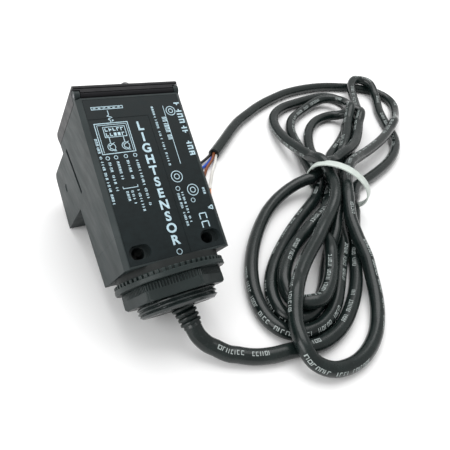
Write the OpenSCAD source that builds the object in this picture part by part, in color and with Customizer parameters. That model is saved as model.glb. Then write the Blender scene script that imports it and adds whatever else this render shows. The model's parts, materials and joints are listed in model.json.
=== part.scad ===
// Photoelectric sensor: a rectangular moulded case with a lens head on its front, a hinged top
// cover, a threaded base with its nut, and a cable that lies tied in a bundle beside it.
// The case is drawn in its own frame (x across, y up the case, z out of the label face) and is
// then leaned over, so that it rests on the lower edge of its lens head and on its nut.

/* [Case] */
// Width of the case
case_w = 40.6; // [39:0.2:44]
// Height of the case below its cover
case_h = 63; // [62:0.5:66]
// Depth of the case at the cover
depth_top = 37; // [36:0.5:38]
// Depth of the case at its lower end
depth_foot = 30; // [30:0.5:31]
// Wall thickness
wall = 2.2; // [2:0.1:2.5]
// Bevel along the label's edges
bevel = 1.5; // [1:0.1:1.8]

/* [Lens head] */
// Distance from the cover seam to the top of the lens head
head_top = 4; // [3.5:0.5:5]
// Distance from the cover seam to the bottom of the lens head
head_low = 29.6; // [29:0.2:31]
// Distance from the label to the face of the lens head
head_front = 60.3; // [59:0.1:62]
// Radius of the two lenses
lens_r = 7; // [6:0.2:7.2]

/* [Cover] */
// Height of the hinged cover
cover_h = 5.4; // [5:0.1:6]
// Depth of the hinged cover
cover_d = 38.5; // [38.5:0.5:40]

/* [Base] */
// Outer radius of the base thread
thread_r = 15; // [14.5:0.1:15]
// Outer radius of the toothed ring
ring_r = 20.8; // [20:0.1:22]
// Teeth round the ring
ring_teeth = 60; // [40:2:64]
// Corner radius of the hexagonal nut
nut_r = 19.3; // [18.8:0.1:20]
// Radius of the holes through the base
hole_r = 2.3; // [2:0.1:2.4]
// Distance of each hole from the centre line
hole_x = 13.55; // [13.4:0.05:14]

/* [Cable] */
// Radius of the cable
cable_r = 3.2; // [2.6:0.1:3.2]
// Height of the tied bundle
bundle_h = 20; // [18:0.5:21]

/* [Hidden] */
$fn = 64;

eps = 0.01;
half_w = case_w / 2;
inner_x = half_w - wall;

// The parting line of the base block, and the line of the two holes
parting_y = -51.3;
hole_y = -58;
hole_slot = 7.8;
hole_slot_w = 5;
hole_slot_depth = 3;

// The hinge of the cover, near the label face
hinge_y = 2.2;
hinge_z = -2;
pin_r = 0.9;
ear_r = 1.9;
ear_w = 2;
seam = 0.25;

// Heights along the threaded base
barrel_z = -14.85;
gasket_low = -65.4;
ring_low = -68.5;
nut_high = -68.6;
nut_low = -74.7;
barrel_low = -79.2;
nut_turn = 40;

// The case leans until the nut's lowest corner and the lens head's lower edge share a level
nut_dip = nut_r * sin(60 + nut_turn) - barrel_z;
lean = atan((head_front - nut_dip) / (-nut_low - head_low));
rest_z = head_low * sin(lean) + head_front * cos(lean);
head_round = 3;
reach_front = (head_front - head_round) * sin(lean) - (head_top + head_round) * cos(lean) + head_round;
nut_rise = nut_dip + 2 * barrel_z;
reach_back = nut_low * cos(lean) - nut_rise * sin(lean);
rest_y = -(reach_front + reach_back) / 2;

// The strain relief leaves the end of the base a little to one side
relief_x = 1.6;
relief_lean = 10;
relief_len = 8.2;

// Route of the cable from the strain relief to the bundle, at the height of its centre line
lead_route = [[6.2, -53.6, 6], [9.2, -57, 4.4], [12.6, -60.2, 3.5], [17, -63.2, 3.3], [22.5, -65.6, 3.3],
              [29, -67, 3.3], [36, -67.4, 3.3]];
// Route of the cable from the bundle to the end of its jacket
tail_route = [[226, 121, 3.3], [216, 123, 3.3], [203, 124, 3.3], [190, 123, 3.3], [177, 121, 3.3],
              [164, 118, 3.3], [152, 113, 3.3], [140, 108, 3.3], [128, 102, 3.3], [117, 95, 3.3],
              [106, 88, 3.3], [96, 80, 3.3], [87, 72, 3.3], [79, 65, 3.3], [72, 59, 3.3]];
// Routes of the four cores, side by side where they leave the jacket
core_r = 0.8;
brown_route = [[72, 59, 3.9], [68, 54, 3], [63, 50, 1.6], [58, 44, 1], [52, 39, 1], [45, 35, 1]];
blue_route = [[72, 59, 2], [68, 56, 1.4], [64, 53, 1], [58, 50, 1], [52, 48, 1], [46, 46, 1]];
white_route = [[73, 58, 3], [69, 52, 1.8], [65, 47, 1], [61, 41, 1], [57, 35, 1], [54, 29, 1]];
black_route = [[71, 60, 3], [66, 57, 2.2], [61, 55, 1.2], [55, 54, 1], [48, 54, 1], [42, 53, 1]];

// The tie round the bundle
tie_place = [121, 7];
tie_turn = 33;
tie_half_w = 18;
tie_half_h = 12;
tie_t = 0.8;
tie_w = 5.6;

// Points of an arc, from one angle to another
function arc(cx, cy, r, from, to, steps) =
    [for (i = [0:steps]) let (a = from + (to - from) * i / steps) [cx + r * cos(a), cy + r * sin(a)]];
// Depth of the leaning front of the case at a height
function front_at(y) = -(depth_top + (depth_foot - depth_top) * (-y) / case_h);
function unit(v) = v / norm(v);

// Leans something drawn in the case's frame over to where it rests
module leaned() {
    translate([0, rest_y, rest_z]) rotate([lean, 0, 0]) children();
}
// A prism across the case, from an outline of y and z
module across(width) {
    rotate([90, 0, 90]) linear_extrude(width, center = true) children();
}
// A prism down the case from y = 0, from an outline of x and z
module down(length) {
    rotate([90, 0, 0]) linear_extrude(length) children();
}
// A box given by its lowest and highest corners
module block(low, high) {
    translate(low) cube(high - low);
}
// A disc or tube about the axis of the base, between two heights
module base_turned(r, high, low, bore = 0) {
    translate([0, high, barrel_z]) rotate([90, 0, 0]) difference() {
        cylinder(r = r, h = high - low);
        if (bore > 0) translate([0, 0, -1]) cylinder(r = bore, h = high - low + 2);
    }
}
// Sweeps a round section along a route
module swept(route, r, sides) {
    last = len(route) - 1;
    points = [for (i = [0:last])
        let (along = unit(route[min(i + 1, last)] - route[max(i - 1, 0)]),
             side = unit(cross(along, [0, 0, 1])), up = cross(side, along))
        for (k = [0:sides - 1]) route[i] + r * (side * cos(360 * k / sides) + up * sin(360 * k / sides))];
    walls = [for (i = [0:last - 1]) for (k = [0:sides - 1])
        let (n = (k + 1) % sides) [i * sides + k, i * sides + n, (i + 1) * sides + n, (i + 1) * sides + k]];
    first_cap = [for (k = [sides - 1:-1:0]) k];
    last_cap = [for (k = [0:sides - 1]) last * sides + k];
    polyhedron(points = points, faces = concat([first_cap], walls, [last_cap]));
}

// Outline of the case across its width, with the label's edges bevelled
module case_section() {
    polygon([[-half_w, -head_front - 1], [-half_w, -bevel], [-half_w + bevel, 0],
             [half_w - bevel, 0], [half_w, -bevel], [half_w, -head_front - 1]]);
}
// Side outline of the case and its lens head, down to the parting line
module housing_side() {
    polygon(concat([[0, 0], [0, front_at(0)], [-head_top, front_at(-head_top)]],
        arc(-head_top - head_round, -head_front + head_round, head_round, 0, -90, 8),
        [[-head_low, -head_front], [-head_low, front_at(-head_low)],
         [parting_y, front_at(parting_y)], [parting_y, 0]]));
}
// The mouths and bores of the two holes through the base
module base_holes() {
    for (side = [-1, 1]) translate([side * hole_x, hole_y, 0]) {
        translate([0, 0, -depth_top]) cylinder(r = hole_r, h = depth_top + 1);
        hole_mouth();
    }
}
module hole_mouth() {
    reach = (hole_slot - hole_slot_w) / 2;
    for (end = [-1, 1]) translate([end * reach, 0, -hole_slot_depth])
        cylinder(d = hole_slot_w, h = hole_slot_depth + 1);
    translate([0, 0, (1 - hole_slot_depth) / 2])
        cube([2 * reach, hole_slot_w, hole_slot_depth + 1], center = true);
}
// The shallow seat for the label plate
label_x = half_w - bevel - 0.5;
label_t = 0.5;
label_high = -0.8;
label_low = -62.2;
module label_seat() {
    block([-label_x - 0.1, label_low - 0.1, -label_t], [label_x + 0.1, label_high + 0.1, 1]);
}
// The thin slot in each side, behind the front face, where a bracket clips in
module side_slots() {
    slot_len = 21;
    slot_w = 2;
    slot_depth = 1.7;
    slot_tilt = 13.6;
    slot_y = -15.6;
    slot_z = -27.9;
    for (side = [-1, 1]) translate([side * half_w, slot_y, slot_z]) rotate([-90 - slot_tilt, 0, 0])
        cube([2 * slot_depth, slot_w, slot_len], center = true);
}
// A shallow round mark in each side of the lens head
module side_dimples() {
    dimple_r = 1.7;
    dimple_depth = 0.3;
    for (side = [-1, 1]) translate([side * half_w, (-head_top - head_low) / 2 + 1.3, -46.5])
        rotate([0, 90, 0]) cylinder(r = dimple_r, h = 2 * dimple_depth, center = true);
}
module hinge_ears() {
    neck = 0.6;
    for (side = [-1, 1]) translate([side * (half_w - ear_w / 2), 0, hinge_z]) {
        translate([0, hinge_y, 0]) rotate([0, 90, 0]) cylinder(r = ear_r, h = ear_w, center = true);
        translate([-ear_w / 2, -1, -ear_r]) cube([ear_w, hinge_y + 1, ear_r + neck]);
    }
}
adjuster_x = -9;
selector_x = 9;
dial_z = -14;
dial_r = 2.6;
led_xs = [-2.4, 2.4];
led_z = -9;
led_r = 1.5;

// The main circuit board stands on four posts behind the label
post_xs = [-13.5, 13.5];
post_ys = [-13, -46];
post_h = 4.8;
screw_r = 0.95;
board_back = -wall - label_t - post_h - 0.05;
board_t = 1.6;

module main_housing() {
    color("dimgray") leaned() difference() {
        union() {
            difference() {
                intersection() {
                    across(case_w) housing_side();
                    down(-parting_y) case_section();
                }
                // Room for the boards, behind a leaning front wall
                across(2 * inner_x) polygon([[-wall, -wall - label_t], [-wall, front_at(-wall) + wall],
                    [parting_y - 1, front_at(parting_y - 1) + wall], [parting_y - 1, -wall - label_t]]);
                // Room for the optics in the lens head, open at its face
                block([-inner_x, -head_low + wall, -head_front + 2],
                      [inner_x, -head_top - wall, -head_top - wall - 20]);
                block([-inner_x + 0.6, -head_low + 2, -head_front - 1],
                      [inner_x - 0.6, -head_top - wall + 0.2, -head_front + 3]);
            }
            // Posts that carry the main circuit board
            for (x = post_xs, y = post_ys)
                translate([x, y, -wall - label_t - post_h]) cylinder(r = 2.2, h = post_h + 0.1);
            hinge_ears();
        }
        label_seat();
        side_slots();
        side_dimples();
        for (x = post_xs, y = post_ys)
            translate([x, y, -wall - label_t - post_h - 1]) cylinder(r = screw_r, h = post_h);
        // Openings in the deck for the two dials and the status lights
        for (x = [adjuster_x, selector_x]) translate([x, 1, dial_z]) rotate([90, 0, 0])
            cylinder(r = dial_r + 0.08, h = 5);
        for (x = led_xs) translate([x, 1, led_z]) rotate([90, 0, 0]) cylinder(r = led_r + 0.05, h = 5);
        for (side = [-1, 1]) translate([side * half_w, hinge_y, hinge_z]) rotate([0, 90, 0])
            cylinder(r = pin_r, h = 3 * ear_w, center = true);
        gasket_channel(0.05);
    }
}

module base_block() {
    tongue = 1.2;
    color("dimgray") leaned() difference() {
        union() {
            intersection() {
                across(case_w) polygon([[parting_y, 0], [parting_y, front_at(parting_y)],
                    [-case_h, front_at(-case_h)], [-case_h, 0]]);
                down(case_h) case_section();
            }
            block([-inner_x + 0.1, parting_y - 1, front_at(parting_y) + wall + 0.1],
                  [inner_x - 0.1, parting_y + 2.4, -wall - label_t - 0.1]);
        }
        block([-inner_x + tongue, parting_y - 1, front_at(parting_y) + wall + tongue],
              [inner_x - tongue, parting_y + 3, -wall - label_t - tongue]);
        translate([0, -case_h, barrel_z]) rotate([90, 0, 0]) cylinder(r = 9.5, h = 12, center = true);
        translate([0, -case_h, barrel_z]) rotate([90, 0, 0]) cylinder(r = 7, h = 26, center = true);
        label_seat();
        base_holes();
    }
}

module label_plate() {
    panel_x = 4.4;
    color("#1e2829") leaned() difference() {
        block([-label_x, label_low, -label_t], [label_x, label_high, 0]);
        // The print panel is set a hair lower than the strip beside it
        block([-label_x - 1, label_low - 1, -0.12], [panel_x, -8.4, 1]);
        for (side = [-1, 1]) translate([side * hole_x, hole_y, 0]) hole_mouth();
    }
}

module gasket_channel(slack) {
    outer = half_w - 3.2;
    inner = outer - 1.2;
    back = -5.4;
    front = -34;
    difference() {
        block([-outer - slack, -0.7 - slack, front - slack], [outer + slack, 0.1 + slack, back + slack]);
        block([-inner + slack, -2, front + 1.2 + slack], [inner - slack, 1, back - 1.2 - slack]);
    }
}
module cover_gasket() {
    color("black") leaned() gasket_channel(0);
}

// Side outline of the cover, rounded about its hinge and at its front
module cover_side() {
    polygon(concat(arc(hinge_y, hinge_z, hinge_y - seam, 180, 90, 8),
        [[cover_h - 0.7, -0.05], [cover_h, -0.75]],
        arc(cover_h - 2, -cover_d + 2, 2, 0, -90, 6),
        [[seam, -depth_top - 0.2]]));
}
dome_z = -2.5;
dome_r = 2.1;
dome_low = 2.6;
stem_r = 0.9;
module top_cover() {
    lid = 1.8;
    front_rim = 3.4;
    hinge_rim = 5.2;
    color("#2a2a2c") leaned() difference() {
        across(case_w) cover_side();
        // Hollow under the lid, over the dials and lights
        block([-half_w + lid, 0, -cover_d + front_rim], [half_w - lid, cover_h - lid, -hinge_rim]);
        // Room round the ears of the case
        for (side = [-1, 1]) translate([side * half_w, 0, hinge_z]) {
            translate([0, hinge_y, 0]) rotate([0, 90, 0])
                cylinder(r = ear_r + 0.35, h = 2 * ear_w + 0.6, center = true);
            cube([2 * ear_w + 0.6, 2 * hinge_y, 2 * ear_r + 0.7], center = true);
        }
        // Bores for the hinge pins
        translate([0, hinge_y, hinge_z]) rotate([0, 90, 0]) for (side = [-1, 1])
            translate([0, 0, side * (half_w - 3.5)]) cylinder(r = pin_r + 0.05, h = 5, center = true);
        // Stepped bore for the indicator dome
        translate([0, cover_h + 1, dome_z]) rotate([90, 0, 0]) {
            cylinder(r = dome_r, h = cover_h + 1 - dome_low);
            cylinder(r = stem_r, h = cover_h + 2);
        }
        // Two grooves along the edge over the label
        for (y = [hinge_y, cover_h - 1.5]) block([-half_w - 1, y - 0.2, -0.35], [half_w + 1, y + 0.2, 1]);
    }
}
module indicator_dome() {
    dome_top = 1.3;
    color("lightgray") leaned() translate([0, 0, dome_z]) {
        translate([0, cover_h, 0]) rotate([90, 0, 0]) {
            cylinder(r = dome_r, h = cover_h - dome_low);
            cylinder(r = stem_r, h = cover_h - 0.6);
        }
        intersection() {
            translate([0, cover_h + dome_top - dome_r, 0]) sphere(r = dome_r);
            translate([0, cover_h + 2 - eps, 0]) rotate([90, 0, 0]) cylinder(r = dome_r - 0.02, h = 2);
        }
    }
}
module cover_hinge_pins() {
    color("silver") leaned() for (side = [-1, 1])
        translate([side * (half_w - 2.4), hinge_y, hinge_z]) rotate([0, 90, 0])
            cylinder(r = pin_r, h = 4.6, center = true);
}

// A slotted dial that stands through the deck
module dial(x) {
    head_y = 1.6;
    difference() {
        translate([x, head_y, dial_z]) rotate([90, 0, 0]) cylinder(r = dial_r, h = head_y + 3);
        block([x - 0.4, head_y - 0.9, dial_z - dial_r - 1], [x + 0.4, head_y + 1, dial_z + dial_r + 1]);
    }
}
module sensitivity_adjuster() {
    color("goldenrod") leaned() dial(adjuster_x);
}
module light_dark_selector() {
    color("ivory") leaned() dial(selector_x);
}
module dial_body(x) {
    block([x - 3.6, -8.4, dial_z - 3.6], [x + 3.6, -3.2, dial_z + 3.6]);
}
module sensitivity_pot() {
    color("steelblue") leaned() dial_body(adjuster_x);
}
module selector_switch() {
    color("dimgray") leaned() dial_body(selector_x);
}
module status_leds() {
    color("limegreen") leaned() for (x = led_xs) translate([x, -0.2, led_z]) rotate([90, 0, 0])
        cylinder(r = led_r, h = 5);
}

bezel_low = -head_low + 2.4;
bezel_high = -head_top - wall - 0.4;
bezel_x = inner_x - 1;
window_x = bezel_x - 1.6;
module lens_bezel() {
    color("#202426") leaned() difference() {
        block([-bezel_x, bezel_low, -head_front + 0.1], [bezel_x, bezel_high, -head_front + 2]);
        block([-window_x + 1, bezel_low + 2.6, -head_front - 1],
              [window_x - 1, bezel_high - 2.6, -head_front + 3]);
        block([-window_x, bezel_low + 1.6, -head_front + 1], [window_x, bezel_high - 1.6, -head_front + 3]);
    }
}
module front_window() {
    color("darkred", 0.5) leaned() block([-window_x + 0.1, bezel_low + 1.7, -head_front + 1.05],
        [window_x - 0.1, bezel_high - 1.7, -head_front + 2]);
}
module polarising_filter() {
    color("#303048", 0.6) leaned() block([-window_x + 0.1, bezel_low + 1.7, -head_front + 2.05],
        [window_x - 0.1, bezel_high - 1.7, -head_front + 2.5]);
}
lens_y = (bezel_low + bezel_high) / 2;
lens_x = 8;
lens_back = -head_front + 6.4;
module lenses() {
    bulge = 14;
    color("lightcyan", 0.6) leaned() for (x = [-lens_x, lens_x]) translate([x, lens_y, 0]) intersection() {
        translate([0, 0, lens_back - 3.6]) cylinder(r = lens_r - 0.02, h = 3.6);
        translate([0, 0, lens_back - 3.4 + bulge]) sphere(r = bulge);
    }
}
holder_back = -37.6;
module optics_holder() {
    tube_r = 5.6;
    socket_r = 3;
    color("#151515") leaned() difference() {
        block([-inner_x + 0.6, -head_low + wall + 0.4, -head_front + 2.7],
              [inner_x - 0.6, -head_top - wall - 0.4, holder_back]);
        for (x = [-lens_x, lens_x]) translate([x, lens_y, 0]) {
            translate([0, 0, -head_front]) cylinder(r = lens_r, h = lens_back + head_front);
            translate([0, 0, -head_front]) cylinder(r = tube_r, h = head_front - 42);
            translate([0, 0, -head_front]) cylinder(r = socket_r, h = head_front);
        }
    }
}
// A domed diode of 5 mm with its collar against the optics board
module diode(x) {
    translate([x, lens_y, holder_back - 5.5]) {
        cylinder(r = 2.5, h = 5.5);
        sphere(r = 2.5);
    }
    translate([x, lens_y, holder_back - 1]) cylinder(r = 2.9, h = 1);
}
module emitter_led() {
    color("crimson") leaned() diode(-lens_x);
}
module receiver_photodiode() {
    color("#222233") leaned() diode(lens_x);
}
module optics_board() {
    color("darkgreen") leaned() block([-inner_x + 1, -head_low + wall + 0.6, holder_back + 0.05],
        [inner_x - 1, -head_top - wall - 0.6, holder_back + 1.65]);
}
module main_circuit_board() {
    color("darkgreen") leaned() difference() {
        block([-inner_x + 0.8, -48.4, board_back - board_t], [inner_x - 0.8, -9, board_back]);
        for (x = post_xs, y = post_ys) translate([x, y, board_back - board_t - 1])
            cylinder(r = screw_r + 0.2, h = board_t + 2);
    }
}
module capacitors() {
    color("midnightblue") leaned() for (x = [-8, 4]) translate([x, -40, board_back - board_t - 11.05])
        cylinder(r = 4, h = 11);
}
module output_transistors() {
    color("#181818") leaned() for (x = [-12, 12]) block([x - 3, -33, board_back - board_t - 4.55],
        [x + 3, -24, board_back - board_t - 0.05]);
}
module control_chips() {
    color("#202020") leaned() for (y = [-30, -18]) block([-5, y - 4, board_back - board_t - 1.85],
        [5, y + 4, board_back - board_t - 0.05]);
}
module board_screws() {
    head_r = 1.9;
    color("silver") leaned() for (x = post_xs, y = post_ys) translate([x, y, board_back - board_t]) {
        translate([0, 0, -1.3]) cylinder(r = head_r, h = 1.25);
        translate([0, 0, -0.1]) cylinder(r = screw_r - 0.05, h = 5);
    }
}
// A flat ribbon from the main board back to the optics board
module flex_link() {
    link_x = 3;
    link_t = 0.2;
    front_z = board_back - board_t - 0.05;
    turn_z = -34;
    back_z = holder_back + 1.75;
    run_y = -10.4;
    foot_y = -11.8;
    color("orange") leaned() {
        block([-link_x, run_y - 2.6, front_z - link_t], [link_x, run_y, front_z]);
        block([-link_x, run_y - link_t, turn_z], [link_x, run_y, front_z]);
        block([-link_x, foot_y - link_t, turn_z - link_t], [link_x, run_y, turn_z]);
        block([-link_x, foot_y - link_t, back_z], [link_x, foot_y, turn_z]);
    }
}

module threaded_barrel() {
    shoulder = 13.2;
    color("#2b3230") leaned() difference() {
        union() {
            base_turned(9.4, -case_h + 5.9, -case_h);
            base_turned(thread_r, -case_h, barrel_low + 1);
            base_turned(shoulder, barrel_low + 1, barrel_low);
        }
        base_turned(6.9, -case_h + 7, barrel_low - 1);
        base_turned(11.6, barrel_low + 1.6, barrel_low - 1);
    }
}
module barrel_disc() {
    color("#2b3230") leaned() base_turned(11.5, barrel_low + 1.6, barrel_low + 0.1, 3.4);
}
module base_gasket() {
    color("#101010") leaned() base_turned(19.4, -case_h - 0.02, gasket_low, thread_r);
}
// A ring whose upper part is cut into small square teeth
module lock_ring() {
    step = 360 / ring_teeth;
    tooth_r = ring_r - 0.15;
    root_r = ring_r - 1.1;
    tooth_h = 1.3;
    high = -gasket_low + 0.05;
    color("#242a29") leaned() translate([0, 0, barrel_z]) rotate([90, 0, 0]) difference() {
        union() {
            translate([0, 0, high + tooth_h]) cylinder(r = ring_r, h = -ring_low - high - tooth_h);
            translate([0, 0, high]) linear_extrude(tooth_h + 0.4)
                polygon([for (i = [0:ring_teeth - 1]) each [
                    tooth_r * [cos(i * step), sin(i * step)],
                    tooth_r * [cos((i + 0.5) * step), sin((i + 0.5) * step)],
                    root_r * [cos((i + 0.5) * step), sin((i + 0.5) * step)],
                    root_r * [cos((i + 1) * step), sin((i + 1) * step)]]]);
        }
        translate([0, 0, high - 1]) cylinder(r = thread_r + 0.08, h = 6);
    }
}
// A hexagonal nut whose upper band has fine upright ribs on every flat
module mounting_nut() {
    ribs = 18;
    rib_depth = 0.35;
    band = 2.5;
    color("#2b3533") leaned() translate([0, nut_high, barrel_z]) rotate([90, nut_turn, 0]) difference() {
        union() {
            translate([0, 0, band]) cylinder(r = nut_r, h = nut_high - nut_low - band, $fn = 6);
            linear_extrude(band + eps) polygon([for (s = [0:5], i = [0:ribs - 1]) each
                let (a = nut_r * [cos(60 * s), sin(60 * s)], b = nut_r * [cos(60 * s + 60), sin(60 * s + 60)],
                     inward = rib_depth * [-cos(60 * s + 30), -sin(60 * s + 30)])
                [a + (b - a) * i / ribs, a + (b - a) * (i + 0.5) / ribs,
                 a + (b - a) * (i + 0.6) / ribs + inward, a + (b - a) * (i + 0.9) / ribs + inward]]);
        }
        translate([0, 0, -1]) cylinder(r = thread_r + 0.05, h = 10);
    }
}

// Ribbed boot that guards the cable where it leaves the base
module strain_relief() {
    rib = 1.9;
    color("#1c2322") leaned() translate([0, barrel_low + 0.1, barrel_z]) {
        rotate([90, 0, 0]) translate([0, 0, -1.5]) cylinder(r = 3.35, h = 1.6);
        translate([relief_x, 0, 0]) rotate([90, 0, relief_lean]) {
            translate([0, 0, -0.3]) cylinder(r1 = 4.9, r2 = 3.7, h = 1.6);
            cylinder(r1 = 3.7, r2 = 3.4, h = relief_len);
            for (i = [1:3]) translate([0, 0, i * rib]) cylinder(r = 4.3 - 0.06 * i, h = rib * 0.55);
        }
    }
}
exit_local = [relief_x + sin(relief_lean) * relief_len, barrel_low + 0.1 - cos(relief_lean) * relief_len, barrel_z];
exit_point = [exit_local[0], exit_local[1] * cos(lean) - exit_local[2] * sin(lean) + rest_y,
              exit_local[1] * sin(lean) + exit_local[2] * cos(lean) + rest_z];
exit_dir = [sin(relief_lean), -cos(relief_lean) * cos(lean), -cos(relief_lean) * sin(lean)];
module cable_lead() {
    color("#1f2b29") swept(concat([exit_point, exit_point + 3 * exit_dir], lead_route), cable_r, 10);
}
// Outline of the tied bundle: a wide lower loop and two upper loops that meet at the tie
module cable_bundle() {
    waist = 15;
    upper_h = 14;
    color("#1f2b29") {
        linear_extrude(bundle_h) hull() {
            translate([60, -59]) circle(r = 28, $fn = 32);
            translate([84, -54]) circle(r = 17, $fn = 32);
            translate([55, -30]) circle(r = 18, $fn = 32);
            translate([90, 8]) circle(r = 18, $fn = 32);
            translate(tie_place) circle(r = waist, $fn = 32);
        }
        linear_extrude(upper_h) {
            hull() {
                translate(tie_place) circle(r = waist, $fn = 32);
                translate([146, 84]) circle(r = 17, $fn = 32);
                translate([196, 90]) circle(r = 17, $fn = 32);
                translate([200, 45]) circle(r = 17, $fn = 32);
                translate([160, 16]) circle(r = 12, $fn = 32);
            }
            hull() {
                translate([200, 50]) circle(r = 17, $fn = 32);
                translate([246, 102]) circle(r = 18, $fn = 32);
                translate([196, 90]) circle(r = 17, $fn = 32);
                translate([238, 112]) circle(r = 15, $fn = 32);
            }
        }
    }
}
module cable_tail() {
    color("#1f2b29") swept(tail_route, cable_r, 10);
}
function hoop(grow) = [for (a = [0:7.5:352.5]) [(tie_half_w + grow) * cos(a), (tie_half_h + grow) * sin(a)]];
module cable_tie() {
    color("whitesmoke") translate([tie_place[0], tie_place[1], tie_half_h]) rotate([90, 0, tie_turn + 90])
        linear_extrude(tie_w, center = true) difference() {
            polygon(hoop(0));
            polygon(hoop(-tie_t));
        }
}
module brown_core() {
    color("sienna") swept(brown_route, core_r, 8);
}
module blue_core() {
    color("royalblue") swept(blue_route, core_r, 8);
}
module white_core() {
    color("white") swept(white_route, core_r, 8);
}
module black_core() {
    color("#151515") swept(black_route, core_r, 8);
}

main_housing();
base_block();
label_plate();
top_cover();
indicator_dome();
cover_hinge_pins();
cover_gasket();
sensitivity_adjuster();
sensitivity_pot();
light_dark_selector();
selector_switch();
status_leds();
lens_bezel();
front_window();
polarising_filter();
lenses();
optics_holder();
emitter_led();
receiver_photodiode();
optics_board();
main_circuit_board();
capacitors();
output_transistors();
control_chips();
board_screws();
flex_link();
threaded_barrel();
base_gasket();
lock_ring();
mounting_nut();
barrel_disc();
strain_relief();
cable_lead();
cable_bundle();
cable_tail();
cable_tie();
brown_core();
blue_core();
white_core();
black_core();
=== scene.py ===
"""Photoelectric sensor: camera, light, cord, moulded case, label print and materials, built around the
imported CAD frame. Shapes on the case are drawn in its own leaning frame, in millimetres: x across,
y up the case from the cover seam, z out of the label face. The cord is drawn in the scene's frame."""
import json
import math

import bmesh
import bpy
import numpy as np
from mathutils import Matrix, Vector

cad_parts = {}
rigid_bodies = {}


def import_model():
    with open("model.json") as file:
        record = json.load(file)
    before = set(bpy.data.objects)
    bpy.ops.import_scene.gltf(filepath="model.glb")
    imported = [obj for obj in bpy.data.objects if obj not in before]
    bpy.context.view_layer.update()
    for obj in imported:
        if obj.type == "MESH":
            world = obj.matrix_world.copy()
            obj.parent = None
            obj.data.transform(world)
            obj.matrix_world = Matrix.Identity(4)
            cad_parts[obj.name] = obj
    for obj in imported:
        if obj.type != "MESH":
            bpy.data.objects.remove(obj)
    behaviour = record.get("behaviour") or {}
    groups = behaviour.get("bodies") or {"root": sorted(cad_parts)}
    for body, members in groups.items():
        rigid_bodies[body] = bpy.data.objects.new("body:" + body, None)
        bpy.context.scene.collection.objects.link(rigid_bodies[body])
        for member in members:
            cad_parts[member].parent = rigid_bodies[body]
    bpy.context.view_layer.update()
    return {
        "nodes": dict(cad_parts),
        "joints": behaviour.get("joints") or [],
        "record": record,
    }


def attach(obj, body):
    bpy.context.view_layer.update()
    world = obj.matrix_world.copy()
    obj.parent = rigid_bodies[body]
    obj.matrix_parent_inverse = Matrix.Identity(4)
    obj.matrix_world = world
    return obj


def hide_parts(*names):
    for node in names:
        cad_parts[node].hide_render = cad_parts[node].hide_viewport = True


for stray in list(bpy.data.objects):
    bpy.data.objects.remove(stray)
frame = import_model()

MM = 0.001
scene = bpy.context.scene
JOINTS = {j["name"]: j for j in frame["joints"]}

# ---------------------------------------------------------------- the case's leaning frame

ACROSS = Vector((1, 0, 0))
UP = Vector(JOINTS["sensitivity_turn"]["axis"])
OUT = ACROSS.cross(UP)
HINGE = (2.2, -2.0)  # the hinge line in the case's frame, y and z
BARREL_Z = -14.85    # the axis of the base, below the label
HALF_W = 20.3        # half the case's width
SEAT = Vector(JOINTS["cover_hinge"]["pos_m"]) - (UP * HINGE[0] + OUT * HINGE[1]) * MM
AXES = Matrix((ACROSS, UP, OUT)).transposed().to_4x4()
LEANED = Matrix.Translation(SEAT) @ AXES @ Matrix.Scale(MM, 4)

# ---------------------------------------------------------------- the cord's route, in millimetres

CABLE_R = 3.2
CORE_R = 0.8
LEAD = [(6.2, -53.6, 6), (9.2, -57, 4.4), (12.6, -60.2, 3.5), (17, -63.2, 3.3), (22.5, -65.6, 3.3),
        (29, -67, 3.3), (36, -67.4, 3.3)]
TAIL = [(226, 121, 3.3), (216, 123, 3.3), (203, 124, 3.3), (190, 123, 3.3), (177, 121, 3.3),
        (164, 118, 3.3), (152, 113, 3.3), (140, 108, 3.3), (128, 102, 3.3), (117, 95, 3.3),
        (106, 88, 3.3), (96, 80, 3.3), (87, 72, 3.3), (79, 65, 3.3), (72, 59, 3.3)]

TIE_PLACE = (121, 7)
TIE_TURN = 33
TIE_HALF_W = 18
TIE_HALF_H = 12
TIE_T = 0.8
TIE_W = 5.6


def slot_at(across, height):
    """A strand's place inside the tie."""
    turn = math.radians(TIE_TURN)
    return (TIE_PLACE[0] - across * math.sin(turn), TIE_PLACE[1] + across * math.cos(turn), height)


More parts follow.
